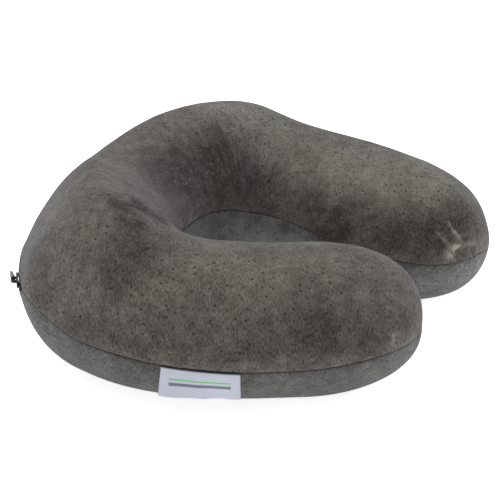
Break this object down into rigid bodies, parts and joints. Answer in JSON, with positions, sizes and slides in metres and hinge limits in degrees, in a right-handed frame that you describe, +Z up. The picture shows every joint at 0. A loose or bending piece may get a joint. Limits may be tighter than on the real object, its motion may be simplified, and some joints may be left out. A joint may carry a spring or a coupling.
{
  "type": "u shaped neck pillow",
  "caption": "U shaped travel neck pillow: a moulded foam core in a zipped velour cover, with raised shoulders, a low nape and arms that toe in.",
  "frame": {"origin": "bottom centre of the finished pillow, on the surface that it stands on", "axes": "+Z up, +Y from the open side of the U towards the nape, +X to the wearer's right when the nape is behind"},
  "size_m": [0.292, 0.2416, 0.0985],
  "materials": {
    "velour": "brushed short-pile velour, embossed with small dots",
    "liner_knit": "thin white knit",
    "foam": "moulded slow-recovery foam with a thin skin",
    "zip_tape": "woven black tape",
    "zip_teeth": "black nylon coil",
    "zip_metal": "black enamelled zinc",
    "label_satin": "white woven satin ribbon"
  },
  "bodies": {
    "pillow": {"foam_core": "foam", "liner_top_panel": "liner_knit", "liner_bottom_panel": "liner_knit", "cover_top_panel": "velour", "cover_bottom_panel": "velour", "zip_tape_upper": "zip_tape", "zip_tape_lower": "zip_tape", "zip_coil_upper": "zip_teeth", "zip_coil_lower": "zip_teeth", "zip_top_stop_upper": "zip_metal", "zip_top_stop_lower": "zip_metal", "zip_bottom_stop": "zip_metal", "care_label": "label_satin"},
    "zip_slider": {"zip_slider_body": "zip_metal"},
    "pull_tab": {"zip_pull_tab": "zip_metal"},
    "label": {"side_label": "label_satin"}
  },
  "joints": [
    {"name": "zip_slider_travel", "type": "hinge", "parent": "pillow", "child": "zip_slider", "pos_m": [0.00033, -0.09982, 0.0478], "axis": [0, 0, -1], "range_deg": [0, 55.3]},
    {"name": "pull_tab_flip", "type": "hinge", "parent": "zip_slider", "child": "pull_tab", "pos_m": [-0.10316, 0.09765, 0.0478], "axis": [0, 0, 1], "range_deg": [-6, 166]},
    {"name": "side_label_lift", "type": "hinge", "parent": "pillow", "child": "label", "pos_m": [-0.14098, -0.02598, 0.02797], "axis": [-0.2221, 0.975, 0], "range_deg": [0, 110]}
  ]
}
